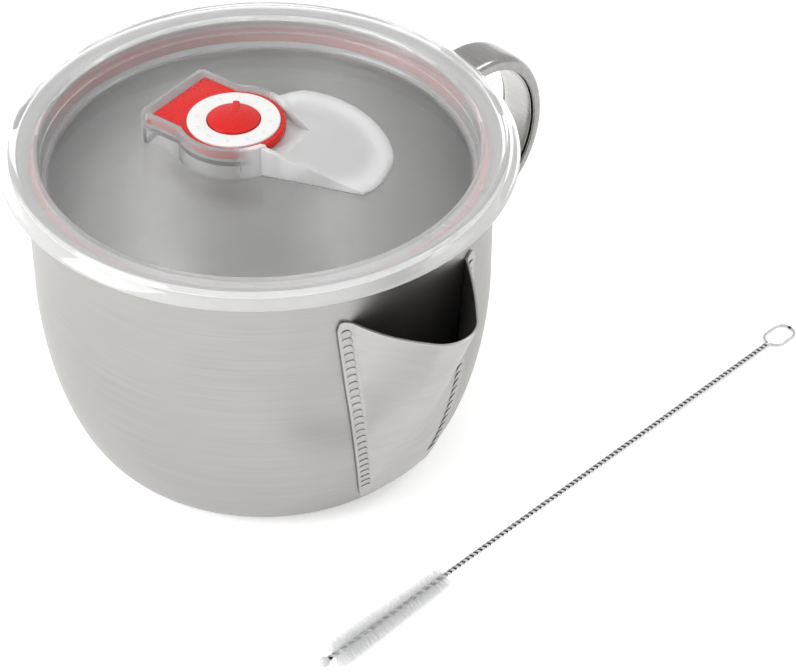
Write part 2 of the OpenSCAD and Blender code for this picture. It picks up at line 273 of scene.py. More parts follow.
def block(name, outline, low, high, cuts=()):
    """Extrudes a flat outline from low to high, then trims it by planes, keeping what is behind each."""
    deselect()
    bpy.ops.mesh.primitive_circle_add(vertices=len(outline), radius=MM, fill_type="NGON")
    obj = added(name)
    for vertex, (x, y) in zip(obj.data.vertices, outline):
        vertex.co = (x * MM, y * MM, low * MM)
    edit(obj, "FACE")
    bpy.ops.mesh.extrude_region_move(TRANSFORM_OT_translate={"value": (0, 0, (high - low) * MM)})
    for point, normal in cuts:
        bpy.ops.mesh.select_all(action="SELECT")
        bpy.ops.mesh.bisect(
            plane_co=[c * MM for c in point], plane_no=normal, use_fill=True, clear_outer=True
        )
    leave()
    close_up(obj)
    return obj


def combine(obj, other, operation):
    """Adds or cuts one solid with another, which is used up."""
    modify(obj, "BOOLEAN", object=other, operation=operation, solver="EXACT")
    bpy.data.objects.remove(other)
    return obj


def sheet(name, rows, columns, place):
    """A grid whose points follow place(across, along), with both from 0 to 1."""
    deselect()
    bpy.ops.mesh.primitive_grid_add(x_subdivisions=columns, y_subdivisions=rows, size=1)
    obj = added(name)
    for vertex in obj.data.vertices:
        vertex.co = Vector(place(vertex.co.x + 0.5, vertex.co.y + 0.5)) * MM
    return obj


def tongue(radius, half_width, reach, corner):
    """Outline of a round head with a square tab towards +Y."""
    meet = math.degrees(math.acos(half_width / radius))
    return (
        arc(0, 0, radius, 180 - meet, 360 + meet, 72)
        + arc(half_width - corner, reach - corner, corner, 0, 90, 6)
        + arc(-half_width + corner, reach - corner, corner, 90, 180, 6)
    )


# -------------------------------------------------------------------- materials

def blank(name):
    material = bpy.data.materials.new(name)
    material.use_nodes = True
    return material, material.node_tree.nodes, material.node_tree.links


def node(nodes, kind, **settings):
    made = nodes.new(kind)
    for key, value in settings.items():
        if hasattr(made, key):
            setattr(made, key, value)
        else:
            made.inputs[key.replace("_", " ")].default_value = value
    return made


def surface(nodes, **values):
    """The Principled shader with its constant sockets set."""
    shader = nodes["Principled BSDF"]
    for key, value in values.items():
        shader.inputs[key.replace("_", " ")].default_value = value
    return shader


def pattern(nodes, links, scale, stretch=(1, 1, 1), detail=3.0, roughness=0.55):
    """Noise on the object's own coordinates, stretched by a Mapping node."""
    place = node(nodes, "ShaderNodeTexCoord")
    mapping = node(nodes, "ShaderNodeMapping", Scale=stretch)
    noise = node(nodes, "ShaderNodeTexNoise", Scale=scale, Detail=detail, Roughness=roughness)
    links.new(place.outputs["Object"], mapping.inputs["Vector"])
    links.new(mapping.outputs["Vector"], noise.inputs["Vector"])
    return noise.outputs["Fac"]


def ranged(nodes, links, value, low, high, start=0.3, end=0.7):
    """A value from a pattern, spread between two limits."""
    spread = node(nodes, "ShaderNodeMapRange", From_Min=start, From_Max=end, To_Min=low, To_Max=high)
    links.new(value, spread.inputs["Value"])
    return spread.outputs["Result"]


def eased(nodes, links, value, start, end, low, high):
    """A value in metres turned smoothly into a share, with the limits given in mm."""
    spread = node(
        nodes, "ShaderNodeMapRange", interpolation_type="SMOOTHSTEP",
        From_Min=start * MM, From_Max=end * MM, To_Min=low, To_Max=high,
    )
    links.new(value, spread.inputs["Value"])
    return spread.outputs["Result"]


def tinted(nodes, links, value, dark, light):
    """A colour between two tones, chosen by a pattern."""
    mix = node(nodes, "ShaderNodeMix", data_type="RGBA")
    mix.inputs[6].default_value = (*dark, 1)
    mix.inputs[7].default_value = (*light, 1)
    links.new(value, mix.inputs["Factor"])
    return mix.outputs[2]


def bumped(nodes, links, shader, height, strength, distance):
    bump = node(nodes, "ShaderNodeBump", Strength=strength, Distance=distance)
    links.new(height, bump.inputs["Height"])
    links.new(bump.outputs["Normal"], shader.inputs["Normal"])


def reckoned(nodes, links, operation, first, second):
    """A value worked out from two others, either of which may be a plain number."""
    total = node(nodes, "ShaderNodeMath", operation=operation)
    for socket, value in zip(total.inputs, (first, second)):
        if isinstance(value, float):
            socket.default_value = value
        else:
            links.new(value, socket)
    return total.outputs[0]


def steel(name, grain, dark, light, rough, anisotropy, bump_depth):
    """Stainless sheet with fine scratches along the grain and faint cloudy wear."""
    material, nodes, links = blank(name)
    shader = surface(nodes, Metallic=1.0, Anisotropic=anisotropy)
    scratches = pattern(nodes, links, 1.0, grain, detail=4, roughness=0.6)
    clouds = pattern(nodes, links, 28.0, detail=2)
    fine = ranged(nodes, links, scratches, 0.0, 0.75, 0.25, 0.75)
    wide = ranged(nodes, links, clouds, 0.0, 0.25)
    tone = reckoned(nodes, links, "ADD", fine, wide)
    links.new(tinted(nodes, links, tone, dark, light), shader.inputs["Base Color"])
    links.new(ranged(nodes, links, tone, rough[1], rough[0], 0.1, 0.9), shader.inputs["Roughness"])
    bumped(nodes, links, shader, scratches, 0.35, bump_depth)
    if anisotropy:
        tangent = node(nodes, "ShaderNodeTangent", direction_type="RADIAL", axis="Z")
        links.new(tangent.outputs["Tangent"], shader.inputs["Tangent"])
    return material


def weld_metal():
    """Rippled, slightly scorched bead of melted steel."""
    material, nodes, links = blank("weld_bead_steel")
    shader = surface(nodes, Metallic=1.0)
    grains = pattern(nodes, links, 1400.0, detail=3)
    scorch = pattern(nodes, links, 160.0, detail=2)
    tint = tinted(nodes, links, scorch, (0.36, 0.352, 0.335), (0.47, 0.462, 0.448))
    links.new(tint, shader.inputs["Base Color"])
    links.new(ranged(nodes, links, grains, 0.28, 0.5), shader.inputs["Roughness"])
    bumped(nodes, links, shader, grains, 0.3, 0.0001)
    return material


def wire_metal():
    """Bright drawn wire with fine marks, and painted shade that darkens it in the grooves of the twist."""
    material, nodes, links = blank("drawn_wire")
    shader = surface(nodes, Metallic=1.0)
    marks = pattern(nodes, links, 900.0, (1, 3, 3), detail=3)
    place = node(nodes, "ShaderNodeTexCoord")
    offset = node(nodes, "ShaderNodeVectorMath", operation="SUBTRACT")
    offset.inputs[1].default_value = bead_middle
    across = node(nodes, "ShaderNodeVectorMath", operation="CROSS_PRODUCT")
    across.inputs[1].default_value = brush_x
    reach = node(nodes, "ShaderNodeVectorMath", operation="LENGTH")
    links.new(place.outputs["Object"], offset.inputs[0])
    links.new(offset.outputs["Vector"], across.inputs[0])
    links.new(across.outputs["Vector"], reach.inputs[0])
    # Painted shade and painted dark reflection: the base colour goes nearly black towards the twist's axis,
    # in the grooves between the wires.
    painted_groove_shade = eased(nodes, links, reach.outputs["Value"], 0.45, 0.88, 0.0, 1.0)
    painted_shade_and_marks = reckoned(nodes, links, "ADD", painted_groove_shade, ranged(nodes, links, marks, -0.12, 0.12))
    # The tint runs from the painted shade's near black in the grooves to the wire's own bright grey, with the
    # fine marks as real tone.
    tint = tinted(nodes, links, painted_shade_and_marks, (0.02, 0.02, 0.02), (0.60, 0.595, 0.59))
    links.new(tint, shader.inputs["Base Color"])
    links.new(ranged(nodes, links, marks, 0.22, 0.4), shader.inputs["Roughness"])
    bumped(nodes, links, shader, marks, 0.2, 0.00005)
    return material


def moulded(name, dark, light, rough, gloss, speckle=900.0, depth=0.00003, scatter=0.0):
    """Moulded plastic or rubber: a fine skin, faint flow clouds and a little wear."""
    material, nodes, links = blank(name)
    shader = surface(nodes, Specular_IOR_Level=gloss, Subsurface_Weight=scatter, Subsurface_Scale=0.002)
    skin = pattern(nodes, links, speckle, detail=3)
    flow = pattern(nodes, links, 70.0, (1, 1, 2), detail=2)
    links.new(tinted(nodes, links, flow, dark, light), shader.inputs["Base Color"])
    links.new(ranged(nodes, links, skin, rough[0], rough[1]), shader.inputs["Roughness"])
    bumped(nodes, links, shader, skin, 0.15, depth)
    return material


def reach_from(nodes, links, middle):
    """Distance in plan from a point given in metres."""
    place = node(nodes, "ShaderNodeTexCoord")
    offset = node(nodes, "ShaderNodeVectorMath", operation="SUBTRACT")
    offset.inputs[1].default_value = (middle[0], middle[1], 0)
    flat = node(nodes, "ShaderNodeVectorMath", operation="MULTIPLY")
    flat.inputs[1].default_value = (1, 1, 0)
    reach = node(nodes, "ShaderNodeVectorMath", operation="LENGTH")
    links.new(place.outputs["Object"], offset.inputs[0])
    links.new(offset.outputs["Vector"], flat.inputs[0])
    links.new(flat.outputs["Vector"], reach.inputs[0])
    return reach.outputs["Value"]


def frosted_ramp(nodes, links):
    """Most on the ramp beside the vent, a little on the housing and none at the dish's wall; milkier near the
    leaf's edge, which paints a bright rim there.
    """
    place = node(nodes, "ShaderNodeTexCoord")
    height = node(nodes, "ShaderNodeSeparateXYZ")
    links.new(place.outputs["Object"], height.inputs["Vector"])
    raised = eased(nodes, links, height.outputs["Z"], panel_h - 0.2, panel_h + 0.8, 0.0, 1.0)
    dish = eased(nodes, links, reach_from(nodes, links, (0, 0)), 62.0, 64.0, 1.0, 0.0)
    from_mid = reach_from(nodes, links, vent_place @ Vector((leaf_x * MM, leaf_y * MM, 0)))
    near = eased(nodes, links, from_mid, 19.0, 27.0, 1.0, 0.25)
    # Painted highlight: the milkiness rises towards the leaf's edge, so the ramp's rim shows lighter.
    painted_rim_highlight = eased(nodes, links, from_mid, 13.0, 20.5, 0.75, 1.2)
    near = reckoned(nodes, links, "MULTIPLY", near, painted_rim_highlight)
    return reckoned(nodes, links, "MULTIPLY", reckoned(nodes, links, "MULTIPLY", raised, dish), near)


def milk_by_place(nodes, links, frost):
    """Share of milkiness: hardly any in the dish, most on the ramp, less at the crest and skirt."""
    radius = reach_from(nodes, links, (0, 0))
    crest = eased(nodes, links, radius, 62.5, 65.0, 0.0, 0.23)
    skirt = eased(nodes, links, radius, 71.5, 74.5, 0.0, -0.04)
    white = reckoned(nodes, links, "MULTIPLY", frost, 0.52)
    return reckoned(nodes, links, "ADD", reckoned(nodes, links, "ADD", crest, skirt), white)


def clear_plastic():
    """Clear in the dish, milky at the crest, skirt and ramp, with a faintly uneven moulded skin."""
    material, nodes, links = blank("clear_lid_plastic")
    shader = surface(nodes, IOR=1.46)
    flow = ranged(nodes, links, pattern(nodes, links, 40.0, detail=2), 0.0, 0.025)
    frost = frosted_ramp(nodes, links)
    milk = reckoned(nodes, links, "ADD", milk_by_place(nodes, links, frost), flow)
    links.new(reckoned(nodes, links, "SUBTRACT", 1.0, milk), shader.inputs["Transmission Weight"])
    tint = tinted(nodes, links, pattern(nodes, links, 60.0), (0.955, 0.96, 0.96), (0.985, 0.985, 0.985))
    links.new(tint, shader.inputs["Base Color"])
    skin = pattern(nodes, links, 300.0, detail=2)
    dull = reckoned(nodes, links, "MULTIPLY", frost, 0.45)
    rough = reckoned(nodes, links, "ADD", ranged(nodes, links, skin, 0.03, 0.09), dull)
    links.new(rough, shader.inputs["Roughness"])
    bumped(nodes, links, shader, skin, 0.06, 0.00003)
    return material


def bristle_nylon():
    """Fine pale grey filament."""
    material, nodes, links = blank("bristle_nylon")
    shader = surface(nodes, Specular_IOR_Level=0.3)
    strands = pattern(nodes, links, 700.0, detail=2)
    tint = tinted(nodes, links, strands, (0.62, 0.625, 0.625), (0.76, 0.765, 0.765))
    links.new(tint, shader.inputs["Base Color"])
    links.new(ranged(nodes, links, strands, 0.25, 0.45), shader.inputs["Roughness"])
    return material


body_steel = steel(
    "brushed_body_steel", grain=(30, 30, 4200), dark=(0.325, 0.32, 0.309), light=(0.385, 0.38, 0.368),
    rough=(0.36, 0.44), anisotropy=0.35, bump_depth=0.000012,
)
# Inside of the pot: polished, and with a base colour far lighter than the outside's. This is partly its
# polish and partly painted light that lifts the shade inside the bowl.
inner_steel = steel(
    "polished_inner_steel_with_painted_light", grain=(60, 60, 1500), dark=(0.76, 0.758, 0.752), light=(0.86, 0.858, 0.852),
    rough=(0.28, 0.38), anisotropy=0.0, bump_depth=0.00001,
)
spout_steel = steel(
    "satin_spout_steel", grain=(120, 120, 500), dark=(0.40, 0.394, 0.383), light=(0.45, 0.444, 0.433),
    rough=(0.30, 0.38), anisotropy=0.0, bump_depth=0.000008,
)
handle_steel = steel(
    "polished_handle_steel", grain=(500, 40, 500), dark=(0.25, 0.246, 0.239), light=(0.37, 0.365, 0.356),
    rough=(0.16, 0.25), anisotropy=0.0, bump_depth=0.00001,
)
lining_steel = steel(
    "satin_lining_steel", grain=(500, 40, 500), dark=(0.50, 0.495, 0.485), light=(0.58, 0.575, 0.565),
    rough=(0.24, 0.32), anisotropy=0.0, bump_depth=0.00001,
)
weld_steel = weld_metal()
wire_steel = wire_metal()
lid_plastic = clear_plastic()
red_rubber = moulded("seal_rubber", (0.74, 0.09, 0.085), (0.84, 0.13, 0.12), (0.35, 0.5), 0.4, scatter=0.1)
red_plastic = moulded(
    "red_moulded_plastic", (0.56, 0.008, 0.006), (0.63, 0.013, 0.010), (0.24, 0.32), 0.28, depth=0.00001
)
white_plastic = moulded(
    "white_moulded_plastic", (0.70, 0.70, 0.695), (0.76, 0.76, 0.755), (0.3, 0.42), 0.35, depth=0.00001
)
white_rubber = moulded(
    "white_plug_rubber", (0.74, 0.74, 0.73), (0.84, 0.84, 0.83), (0.45, 0.6), 0.35, scatter=0.1
)
number_ink = moulded("number_ink", (0.56, 0.57, 0.58), (0.66, 0.67, 0.68), (0.5, 0.6), 0.3)
bead_plastic = moulded("bead_plastic", (0.50, 0.51, 0.51), (0.62, 0.63, 0.63), (0.2, 0.35), 0.6, scatter=0.3)
nylon = bristle_nylon()


# -------------------------------------------------------------------------- pot

def wall_r(z):
    """Radius of the pot's outer wall at a height."""
    if z >= bowl_h:
        return pot_r
    lean = math.acos((1 - z / bowl_h) ** (1 / bowl_power))
    return base_r + (pot_r - base_r) * math.sin(lean) ** bowl_power


def bowl_line(foot_r, top_r, foot_z, steps=40):
    """Bowl outline from the base up to the straight wall."""
    points = []
    for i in range(steps + 1):
        a = math.pi / 2 * i / steps
        rise = 1 - max(math.cos(a), 0) ** bowl_power
        radius = foot_r + (top_r - foot_r) * math.sin(a) ** bowl_power
        points.append((radius, foot_z + (bowl_h - foot_z) * rise))
    return points


def pot():
    """Bowl with a turned-out rim and rows of pouring holes, polished on the inside, where a tone much lighter
    than the outside's also paints light into the bowl's shade.
    """
    bend = rim_bend - sheet_t
    edge = sheet_t / 2
    outline = (
        [(0, 0)]
        + bowl_line(base_r, pot_r, 0)
        + arc(pot_r + bend, rim_h - rim_bend, bend, 180, 90, 8)
        + arc(pot_r + rim_out - edge, rim_h - edge, edge, -90, 90, 6)
        + arc(pot_r + bend, rim_h - rim_bend, rim_bend, 90, 180, 8)
        + bowl_line(base_r - sheet_t / 2, pot_r - sheet_t, sheet_t)[::-1]
        + [(0, sheet_t)]
    )
    body = turned("pot_shell", outline, 192)
    for row in range(3):
        for i in range(row + 2):
            turn = math.radians((i - (row + 1) / 2) * pour_degrees)
            deselect()
            bpy.ops.mesh.primitive_cylinder_add(vertices=28, radius=pour_hole_r * MM, depth=24 * MM)
            hole = added("hole_tool")
            hole.matrix_world = (
                Matrix.Rotation(turn, 4, "Z")
                @ Matrix.Translation((0, -(pot_r - 4) * MM, (pour_row_low + row * pour_row_gap) * MM))
                @ Matrix.Rotation(math.pi / 2, 4, "X")
            )
            combine(body, hole, "DIFFERENCE")
    smooth(body)
    finish_piece(body, body_steel, "pot", ["pot_body"])
    body.data.materials.append(inner_steel)
    for face in body.data.polygons:
        outward = Vector((face.center.x, face.center.y, 0)).normalized()
        inside = face.normal.dot(outward) < -0.2 or face.normal.z > 0.6
        if inside and face.center.z < (rim_h - 4) * MM:
            face.material_index = 1
    return body


# ------------------------------------------------------------------------ spout

def fold_angle(z):
    """Half the angle that the spout spans round the pot at a height, up to its fold."""
    return math.radians(fold_degrees + fold_spread * ((z - fold_start) / fold_rise) ** fold_power)


def edge_angle(z):
    return fold_angle(z) + math.radians(flange_degrees)


def spout_point(z, t):
    """A point of the spout's outer skin: t is 0 at the ridge, 1 at the fold and 2 at the flange's edge."""
    skin_r = wall_r(z) + mouth_gap + sheet_t
    fold = Vector((skin_r * math.sin(fold_angle(z)), skin_r * math.cos(fold_angle(z))))
    ridge_y = lip_reach - ridge_lean * (lip_h - z) - ridge_r
    span = fold - Vector((0, ridge_y))
    reach = span.length
    bend = math.atan2(span.x, span.y) - math.acos(ridge_r / reach)
    straight = math.sqrt(reach * reach - ridge_r * ridge_r)
    if t > 1:
        turn = fold_angle(z) + (t - 1) * (edge_angle(z) - fold_angle(z))
        skin_r += edge_lift * max(t - 1.5, 0) ** 2 * 4
        return Vector((skin_r * math.sin(turn), skin_r * math.cos(turn)))
    run = t * (ridge_r * bend + straight)
    a = min(run / ridge_r, bend)
    on_flat = max(run - ridge_r * bend, 0)
    point = Vector((0, ridge_y)) + ridge_r * Vector((math.sin(a), math.cos(a)))
    point += on_flat * Vector((math.cos(a), -math.sin(a)))
    belly = spout_belly * math.sin(math.pi * on_flat / straight) * max((z - 40) / (flange_h - 40), 0)
    point += belly * Vector((math.sin(a), math.cos(a)))
    return point if point.length > skin_r else point * (skin_r / point.length)


def spout_top(t):
    """Height of the sheet's top edge: lowest at the lip, highest on the flanges."""
    if t <= 1:
        return lip_h + (flange_h - 1 - lip_h) * t ** 3
    if t < 1.6:
        return flange_h - 1 + math.sin(math.radians((t - 1) * 150))
    return flange_h - 3.2 * ((t - 1.6) / 0.4) ** 2


def spout():
    """V-shaped sheet with a rounded ridge and a flange down each side."""
    def place(across, along):
        side = across * 4 - 2
        t = abs(side)
        z = spout_low + (spout_top(t) - spout_low) * along
        point = spout_point(z, t)
        return math.copysign(point.x, side), -point.y, z

    body = sheet("spout_shell", 72, 96, place)
    modify(body, "SOLIDIFY", thickness=sheet_t * MM, offset=-1, use_even_offset=True)
    soften(body, 0.18, 2, 60)
    smooth(body, 40)
    return finish_piece(body, spout_steel, "pot", ["spout"])


def weld_seam(side, name, node_name):
    """Overlapping crescent nuggets up one flange."""
    deselect()
    bpy.ops.mesh.primitive_uv_sphere_add(segments=20, ring_count=10, radius=MM)
    first = added("nugget")
    relief = 0.22 if side > 0 else 0.28
    first.scale = (1.9, relief, 2.0)
    settle(first)
    nuggets = []
    for i in range(weld_nuggets):
        z = weld_low + (weld_high - weld_low) * (i + 0.5) / weld_nuggets
        turn = (fold_angle(z) + edge_angle(z)) / 2
        skin_r = wall_r(z) + mouth_gap + sheet_t
        lean = math.atan2(wall_r(z + 0.5) - wall_r(z - 0.5), 1)
        nugget = first.copy()
        nugget.data = first.data.copy()
        bpy.context.collection.objects.link(nugget)
        nugget.matrix_world = (
            Matrix.Rotation(side * turn, 4, "Z")
            @ Matrix.Translation((0, -(skin_r + 0.02) * MM, z * MM))
            @ Matrix.Rotation(lean + math.radians(7), 4, "X")
        )
        nuggets.append(nugget)
    bpy.data.objects.remove(first)
    seam = join(name, nuggets)
    settle(seam)
    smooth(seam, 60)
    return finish_piece(seam, weld_steel, "pot", [node_name])


# ----------------------------------------------------------------------- handle

def handle_station(s):
    """Outer line of the handle: its X, its Z and the direction of its outward normal."""
    mid_z = (handle_top + handle_low) / 2
    half_x = handle_reach - handle_mid_x
    half_z = (handle_top - handle_low) / 2
    lead = 3 / 44
    if s < lead:
        share = s / lead
        return (
            handle_root_x + (handle_mid_x - handle_root_x) * share,
            handle_top - 1.6 * (1 - share) ** 2, math.radians(90 + 10 * (1 - share)),
        )
    if s > 1 - lead:
        share = (1 - s) / lead
        return (
            handle_root_x + (handle_mid_x - handle_root_x) * share,
            handle_low - 0.8 * (1 - share) ** 2, math.radians(-90),
        )
    turn = math.radians(90 - 180 * (s - lead) / (1 - 2 * lead))
    return (
        handle_mid_x + half_x * math.cos(turn), mid_z + half_z * math.sin(turn),
        math.atan2(math.sin(turn) / half_z, math.cos(turn) / half_x),
    )


def swept(name, rows, columns, section):
    """Sweeps an open section of (across, outward) points along the handle's line."""
    def place(across, along):
        y, out = section(across)
        x, z, normal = handle_station(along)
        if along < 1e-4 or along > 1 - 1e-4:
            x = math.sqrt(pot_r ** 2 - y ** 2) - 0.3
            return x, y, z + out * math.sin(normal)
        return x + out * math.cos(normal), y, z + out * math.sin(normal)

    return sheet(name, rows, columns, place)


def channel(across):
    """Rounded C section, from one side of the handle over to the other."""
    a = math.pi * across
    y = handle_half_w * math.copysign(abs(math.cos(a)) ** 0.42, math.cos(a))
    return y, channel_d * (abs(math.sin(a)) ** 0.62 - 1)


def handle():
    """Rounded channel with a flat lining strip along its hollow side."""
    shell = swept("handle_channel", 132, 40, channel)
    modify(shell, "SOLIDIFY", thickness=sheet_t * MM, offset=-1, use_even_offset=False)
    soften(shell, 0.15, 2, 60)
    smooth(shell, 40)
    finish_piece(shell, handle_steel, "pot", ["handle_outer_shell"])
    half = handle_half_w - sheet_t - 0.6

    def flat(across):
        return half * (1 - 2 * across), 0.2 - channel_d

    strip = swept("handle_lining", 132, 6, flat)
    modify(strip, "SOLIDIFY", thickness=sheet_t * MM, offset=-1, use_even_offset=False)
    soften(strip, 0.2, 2, 60)
    smooth(strip, 40)
    finish_piece(strip, lining_steel, "pot", ["handle_inner_strip"])


# -------------------------------------------------------------------------- lid

def lid_outline():
    """Cross-section of the lid: dish, crest, ridge, skirt and plug wall."""
    under = panel_h - wall_t
    return (
        [(0, panel_h)]
        + arc(recess_r - 3.2, panel_h + 2.3, 2.3, -90, -4, 7)
        + arc(recess_r + 0.9, crest_h - 1.2, 1.2, 176, 90, 6)
        + [(pot_r + 1.4, crest_h)]
        + arc(pot_r + 3.1, crest_h - 0.8, 1.5, 135, 35, 8)
        + [(pot_r + 5.4, crest_h - 0.75), (pot_r + 6.6, crest_h - 1.8)]
        + arc(lid_r - 0.6, crest_h - 3.2, 0.6, 25, -130, 7)
        + [(lid_r - 1.8, crest_h - 3.0), (lid_r - 2.7, crest_h - 2.1), (pot_r + 3.7, crest_h - 1.6)]
        + [(pot_r + 3.5, rim_h + mouth_gap), (recess_r + 1.4, rim_h + mouth_gap)]
        + [(recess_r + 1.2, rim_h - 0.2), (recess_r + 1.2, panel_h + 4.3), (recess_r + 0.6, panel_h + 4.3)]
        + [(recess_r + 0.6, panel_h + 1.2), (recess_r + 1.2, panel_h + 1.2), (recess_r + 1.2, panel_h)]
        + arc(recess_r, under + 1.2, 1.2, 0, -90, 5)
        + [(0, under)]
    )


def ramp():
    """Leaf-shaped wedge that falls from the vent housing towards the panel, with softened edges."""
    away = Vector((math.cos(ramp_away), math.sin(ramp_away), 0))
    side = Vector((math.cos(ramp_side), math.sin(ramp_side), 0))
    high, low = crest_h - 0.7, panel_h + 0.2
    slope_top = away * ramp_top_reach + Vector((0, 0, high))
    slope = away * (high - low) + Vector((0, 0, ramp_foot_reach - ramp_top_reach))
    wedge = block(
        "ramp", arc(leaf_x, leaf_y, leaf_r, 0, 355, 71), panel_h - 8, crest_h,
        [(side * ramp_side_reach, side), ((0, 0, high), (0, 0, 1)), (slope_top, slope.normalized())],
    )
    soften(wedge, 1.6, 4, 30)
    edit(wedge, "FACE")
    bpy.ops.mesh.bisect(
        plane_co=(0, 0, (panel_h - wall_t + 0.4) * MM), plane_no=(0, 0, -1),
        use_fill=True, clear_outer=True,
    )
    leave()
    close_up(wedge)
    return wedge


def lid():
    """Turned moulding with the vent's housing and ramp added, then its pocket, hollow, scoop and bore cut."""
    shell = turned("lid_moulding", lid_outline(), 200)
    wall = tongue(flap_r + 2, tab_half_w + 1.8, hinge_reach + 3.3, 2.2)
    housing = block("housing", wall, panel_h - wall_t, crest_h)
    soften(housing, 0.5, 3, 60)
    hollow_top = pocket_floor - wall_t
    parts = [(housing, "UNION"), (ramp(), "UNION")]
    pocket = tongue(flap_r + 0.5, tab_half_w + 0.3, hinge_reach + 1.8, 1.2)
    parts.append((block("pocket", pocket, pocket_floor, crest_h + 8), "DIFFERENCE"))
    parts.append((block("hollow", pocket, panel_h - wall_t - 1, hollow_top), "DIFFERENCE"))
    rise = Vector((0, -2.6, -8))
    scoop = block(
        "scoop", [(-8.4, -8), (-3.2, -23.5), (10.8, -23.5), (14.5, -6)], pocket_floor, crest_h + 6,
        [((0, -16, pocket_floor), rise.normalized())],
    )
    parts.append((scoop, "DIFFERENCE"))
    deselect()
    bpy.ops.mesh.primitive_cylinder_add(vertices=48, radius=4.5 * MM, depth=40 * MM, location=(0, 0, 95 * MM))
    parts.append((added("vent_bore"), "DIFFERENCE"))
    for tool, operation in parts:
        settle(tool, vent_place)
        combine(shell, tool, operation)
    smooth(shell, 32)
    return finish_piece(shell, lid_plastic, "lid", ["lid_shell"])


def seal():
    """Ring with two lips that reach almost to the pot's wall."""
    seat = recess_r + 0.65
    low, high = panel_h + 1.25, panel_h + 4.25
    lip = pot_r - sheet_t - 0.2
    outline = [(seat, low), (seat + 0.9, low)]
    outline += [(lip - 0.3, low + 0.3)] + arc(lip - 0.3, low + 0.6, 0.3, -80, 80, 5) + [(lip - 1, low + 1.25)]
    outline += [(lip - 1, high - 1.15)] + arc(lip - 0.3, high - 0.6, 0.3, -80, 80, 5)
    outline += [(seat + 0.9, high), (seat, high)]
    ring = turned("lid_seal_ring", outline, 180)
    smooth(ring, 40)
    return finish_piece(ring, red_rubber, "lid", ["lid_seal"])


def flange_marks():
    """Four plain raised outlines on the lid's flange: a ring, two squares and a triangle."""
    marks = []
    for sides, degrees in ((4, -85.8), (4, -78.9), (3, -71.5), (24, -62.4)):
        deselect()
        bpy.ops.mesh.primitive_circle_add(vertices=sides, radius=mark_r * MM, fill_type="NGON")
        mark = added("mark")
        edit(mark, "FACE")
        bpy.ops.mesh.inset(thickness=0.35 * MM)
        bpy.ops.mesh.delete(type="FACE")
        bpy.ops.mesh.select_all(action="SELECT")
        bpy.ops.mesh.extrude_region_move(TRANSFORM_OT_translate={"value": (0, 0, 0.22 * MM)})
        leave()
        close_up(mark)
        angle = math.radians(degrees)
        reach = mark_reach * MM
        spot = (reach * math.cos(angle), reach * math.sin(angle), (crest_h - 0.03) * MM)
        mark.matrix_world = Matrix.Translation(spot) @ Matrix.Rotation(angle + math.pi / sides, 4, "Z")
        marks.append(mark)
    raised = join("flange_marks", marks)
    settle(raised)
    soften(raised, 0.06, 2, 50)
    smooth(raised, 40)
    return finish_piece(raised, lid_plastic, "lid")


# ------------------------------------------------------------------------- vent

def flap():
    """Round-headed plate with a hinge barrel and pin, and a well for the number ring."""
    plate = block("flap_plate", tongue(flap_r, tab_half_w, hinge_reach, 0.8), flap_low, flap_high)
    soften(plate, 0.45, 3, 50)
    deselect()
    bpy.ops.mesh.primitive_cylinder_add(vertices=36, radius=1.3 * MM, depth=2 * tab_half_w * MM)
    barrel = added("barrel")
    deselect()
    bpy.ops.mesh.primitive_cylinder_add(vertices=36, radius=0.8 * MM, depth=2 * (tab_half_w + 0.9) * MM)
    pin = added("pin")
    for rod in (barrel, pin):
        rod.matrix_world = (
            Matrix.Translation((0, hinge_reach * MM, hinge_h * MM)) @ Matrix.Rotation(math.pi / 2, 4, "Y")
        )
        soften(settle(rod), 0.15, 2, 60)
        combine(plate, rod, "UNION")
    inner, outer, floor_h, over = knob_r + 0.2, ring_r + 0.06, flap_high - 0.5, flap_high + 2
    well = turned("well", [(inner, floor_h), (outer, floor_h), (outer, over), (inner, over)], 96)
    combine(plate, well, "DIFFERENCE")
    settle(plate, vent_place)
    smooth(plate, 35)
    return finish_piece(plate, red_plastic, "flap", ["vent_flap"])


def plug():
    """Stopper under the flap that closes the vent's bore."""
    top = flap_low + 0.45
    outline = [(0, flap_low - 2.4), (3.2, flap_low - 2.4), (3.7, flap_low - 1.9), (3.7, flap_low - 0.25)]
    outline += [(5.7, flap_low - 0.25), (6.0, flap_low), (6.0, top), (0, top)]
    stopper = turned("vent_stopper", outline, 64)
    settle(stopper, vent_place)
    smooth(stopper, 35)
    return finish_piece(stopper, white_rubber, "flap", ["vent_plug"])


def ring():
    """White ring in the flap's well, with the numbers 1 to 12 running clockwise."""
    low, high, inner = flap_high - 0.5, flap_high + 0.6, knob_r + 0.3
    outline = [(inner, low), (ring_r, low)]
    outline += arc(ring_r - 0.3, high - 0.3, 0.3, 0, 90, 4) + arc(inner + 0.25, high - 0.25, 0.25, 90, 180, 4)
    band = turned("number_ring", outline, 128)
    settle(band, vent_place)
    smooth(band, 35)
    finish_piece(band, white_plastic, "flap", ["dial_ring"])
    numbers = []
    for i in range(12):
        turn = -TURN * i / 12
        deselect()
        bpy.ops.object.text_add()
        digit = bpy.context.active_object
        digit.data.body = str(i + 1)
        digit.data.size = number_h * MM
        digit.data.extrude = 0.03 * MM
        digit.data.align_x = "CENTER"
        digit.data.align_y = "CENTER"
        bpy.ops.object.convert(target="MESH")
        digit = bpy.context.active_object
        digit.matrix_world = (
            Matrix.Rotation(turn, 4, "Z") @ Matrix.Translation((0, number_reach * MM, (high + 0.01) * MM))
        )
        numbers.append(digit)
    marks = join("ring_numbers", numbers)
    settle(marks, vent_place)
    return finish_piece(marks, number_ink, "flap")


